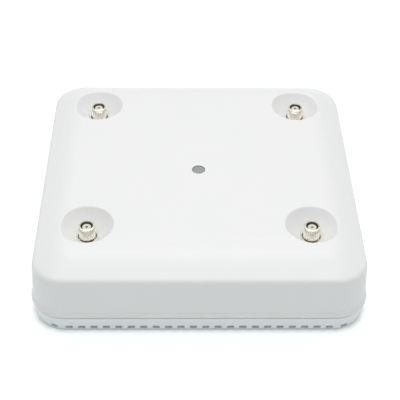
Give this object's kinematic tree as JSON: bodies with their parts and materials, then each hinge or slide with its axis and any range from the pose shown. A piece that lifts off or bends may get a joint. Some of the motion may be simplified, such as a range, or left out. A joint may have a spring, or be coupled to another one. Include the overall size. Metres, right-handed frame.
{
  "type": "ceiling access point",
  "caption": "Square white ceiling radio unit with rounded corners, a vented base rim, a centre status light and threaded antenna jacks in round dishes near the corners.",
  "frame": {"origin": "centre of the square footprint on the plane of the mounting feet", "axes": "+Z out of the room-facing cover, +Y towards the side with the cable bay, +X to the right seen from the other side"},
  "size_m": [0.22, 0.22, 0.0518],
  "materials": {
    "cover_plastic": "fine satin moulded white",
    "housing_plastic": "fine satin moulded, a shade cooler than the cover",
    "cast_metal": "die-cast, bead blasted",
    "plated_sheet": "tin-plated sheet",
    "circuit_board": "green solder mask",
    "chip_black": "moulded epoxy",
    "thermal_pad": "soft gap pad",
    "white_insulator": "waxy white",
    "smoked_lens": "smoked translucent",
    "nickel": "bright warm nickel plate",
    "gold": "gold plate",
    "coax_jacket": "extruded fluoropolymer",
    "steel": "zinc plate",
    "button_plastic": "moulded",
    "label_film": "blank polyester label"
  },
  "bodies": {
    "housing": {"antenna_jack_front_left": "nickel", "antenna_jack_front_right": "nickel", "antenna_jack_rear_left": "nickel", "antenna_jack_rear_right": "nickel", "aux_ethernet_jack": "plated_sheet", "base_casting": "cast_metal", "carrier_screw_front_left": "steel", "carrier_screw_front_right": "steel", "carrier_screw_rear_left": "steel", "carrier_screw_rear_right": "steel", "coax_lead_front_left": "coax_jacket", "coax_lead_front_right": "coax_jacket", "coax_lead_rear_left": "coax_jacket", "coax_lead_rear_right": "coax_jacket", "coax_plug_front_left": "gold", "coax_plug_front_right": "gold", "coax_plug_rear_left": "gold", "coax_plug_rear_right": "gold", "console_jack": "plated_sheet", "cover_screw_front_left": "steel", "cover_screw_front_right": "steel", "cover_screw_rear_left": "steel", "cover_screw_rear_right": "steel", "dc_power_jack": "chip_black", "ethernet_magnetics": "chip_black", "jack_carrier": "plated_sheet", "jack_insulator_front_left": "white_insulator", "jack_insulator_front_right": "white_insulator", "jack_insulator_rear_left": "white_insulator", "jack_insulator_rear_right": "white_insulator", "jack_nut_front_left": "nickel", "jack_nut_front_right": "nickel", "jack_nut_rear_left": "nickel", "jack_nut_rear_right": "nickel", "jack_pin_front_left": "gold", "jack_pin_front_right": "gold", "jack_pin_rear_left": "gold", "jack_pin_rear_right": "gold", "lower_housing": "housing_plastic", "main_board": "circuit_board", "memory_chip": "chip_black", "mode_switch": "chip_black", "mounting_foot_front_left": "steel", "mounting_foot_front_right": "steel", "mounting_foot_rear_left": "steel", "mounting_foot_rear_right": "steel", "poe_ethernet_jack": "plated_sheet", "power_capacitor": "plated_sheet", "power_inductor": "chip_black", "processor": "chip_black", "processor_pad": "thermal_pad", "radio_shield_left": "plated_sheet", "radio_shield_right": "plated_sheet", "rating_label": "label_film", "status_led": "white_insulator", "status_lens": "smoked_lens", "top_cover": "cover_plastic", "usb_port": "plated_sheet"},
    "button": {"mode_button": "button_plastic"}
  },
  "joints": [
    {"name": "mode_button_press", "type": "slide", "parent": "housing", "child": "button", "axis": [0, -1, 0], "range_m": [0, 0.001], "stiffness_N_per_m": 900, "springref_m": -0.0003}
  ]
}
